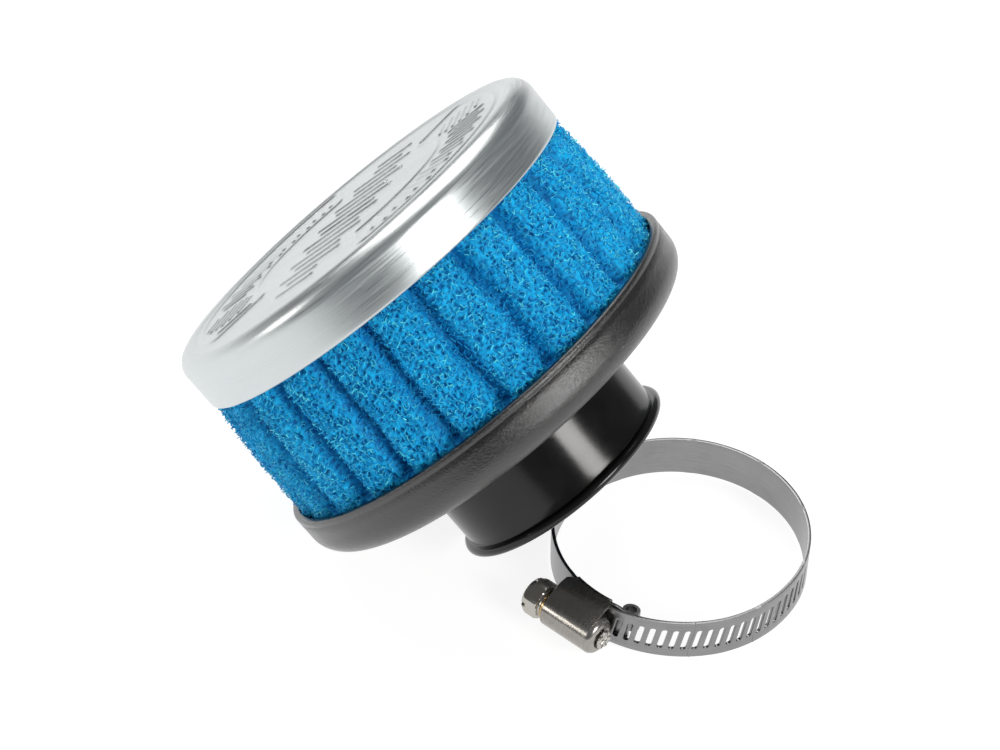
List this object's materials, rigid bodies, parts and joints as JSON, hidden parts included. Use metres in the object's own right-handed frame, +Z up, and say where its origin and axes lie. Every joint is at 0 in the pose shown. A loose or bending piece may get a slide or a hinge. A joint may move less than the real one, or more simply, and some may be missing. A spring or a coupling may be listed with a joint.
{
  "type": "air filter",
  "caption": "Clamp-on pod air filter: pressed end cap, ribbed foam sleeve on a wire cage, rubber base with a round neck, and its loose worm-drive hose clamp.",
  "frame": {"origin": "centre of the neck's mouth, where the carburettor spigot enters", "axes": "+Z up, square to the surface that the filter and the clamp lie on; the neck's axis leans 44.4 degrees from +Z towards azimuth 153.8 degrees; +X is the way the loose clamp lies"},
  "size_m": [0.1073, 0.0847, 0.0815],
  "materials": {
    "rubber_black": "satin",
    "foam_blue": "open-cell foam",
    "bond_resin": "cured adhesive",
    "cage_wire": "zinc plated",
    "cap_steel": "satin pressed",
    "band_steel": "satin",
    "housing_nickel": "nickel plated",
    "screw_nickel": "nickel plated",
    "washer_brass": "plated"
  },
  "bodies": {
    "filter": {"base_boot": "rubber_black", "base_bond": "bond_resin", "foam_sleeve": "foam_blue", "cage_lower_ring": "cage_wire", "cage_uprights": "cage_wire", "cage_hoops": "cage_wire", "cage_upper_ring": "cage_wire", "cap_bond": "bond_resin", "top_cap": "cap_steel"},
    "clamp": {"clamp_housing": "housing_nickel", "band_fixed_end": "band_steel"},
    "screw": {"clamp_screw": "screw_nickel", "screw_washer": "washer_brass"},
    "link_1": {"band_link_1": "band_steel"},
    "link_2": {"band_link_2": "band_steel"},
    "link_3": {"band_link_3": "band_steel"},
    "link_4": {"band_link_4": "band_steel"},
    "link_5": {"band_link_5": "band_steel"},
    "link_6": {"band_link_6": "band_steel"},
    "link_7": {"band_link_7": "band_steel"},
    "link_8": {"band_link_8": "band_steel"},
    "link_9": {"band_link_9": "band_steel"}
  },
  "joints": [
    {"name": "clamp_slide", "type": "slide", "parent": "filter", "child": "clamp", "axis": [1, 0, 0], "range_m": [0, 0.08]},
    {"name": "screw_turn", "type": "hinge", "parent": "clamp", "child": "screw", "pos_m": [0.00164, -0.02553, -0.00998], "axis": [0.7431, -0.6691, 0], "range_deg": [0, 3400]},
    {"name": "band_bend_1", "type": "hinge", "parent": "clamp", "child": "link_1", "pos_m": [0.00008, -0.01567, -0.00998], "axis": [0, 0, -1], "range_deg": [0, 6]},
    {"name": "band_bend_2", "type": "hinge", "parent": "link_1", "child": "link_2", "pos_m": [-0.0014, -0.00264, -0.00998], "axis": [0, 0, -1], "range_deg": [0, 4.3]},
    {"name": "band_bend_3", "type": "hinge", "parent": "link_2", "child": "link_3", "pos_m": [0.00486, 0.00888, -0.00998], "axis": [0, 0, -1], "range_deg": [0, 4.6]},
    {"name": "band_bend_4", "type": "hinge", "parent": "link_3", "child": "link_4", "pos_m": [0.01659, 0.01473, -0.00998], "axis": [0, 0, -1], "range_deg": [0, 5.7]},
    {"name": "band_bend_5", "type": "hinge", "parent": "link_4", "child": "link_5", "pos_m": [0.02956, 0.01279, -0.00998], "axis": [0, 0, -1], "range_deg": [0, 6]},
    {"name": "band_bend_6", "type": "hinge", "parent": "link_5", "child": "link_6", "pos_m": [0.03907, 0.00377, -0.00998], "axis": [0, 0, -1], "range_deg": [0, 5]},
    {"name": "band_bend_7", "type": "hinge", "parent": "link_6", "child": "link_7", "pos_m": [0.04168, -0.00908, -0.00998], "axis": [0, 0, -1], "range_deg": [0, 3.7]},
    {"name": "band_bend_8", "type": "hinge", "parent": "link_7", "child": "link_8", "pos_m": [0.03645, -0.0211, -0.00998], "axis": [0, 0, -1], "range_deg": [0, 3.6]},
    {"name": "band_bend_9", "type": "hinge", "parent": "link_8", "child": "link_9", "pos_m": [0.02537, -0.02834, -0.00998], "axis": [0, 0, -1], "range_deg": [0, 5.6]}
  ],
  "couplings": [
    {"joint": "band_bend_1", "follows": "screw_turn", "ratio": 0.0017169},
    {"joint": "band_bend_2", "follows": "screw_turn", "ratio": 0.0012226},
    {"joint": "band_bend_3", "follows": "screw_turn", "ratio": 0.001301},
    {"joint": "band_bend_4", "follows": "screw_turn", "ratio": 0.001618},
    {"joint": "band_bend_5", "follows": "screw_turn", "ratio": 0.0017179},
    {"joint": "band_bend_6", "follows": "screw_turn", "ratio": 0.0014216},
    {"joint": "band_bend_7", "follows": "screw_turn", "ratio": 0.0010447},
    {"joint": "band_bend_8", "follows": "screw_turn", "ratio": 0.0010278},
    {"joint": "band_bend_9", "follows": "screw_turn", "ratio": 0.0016044}
  ]
}
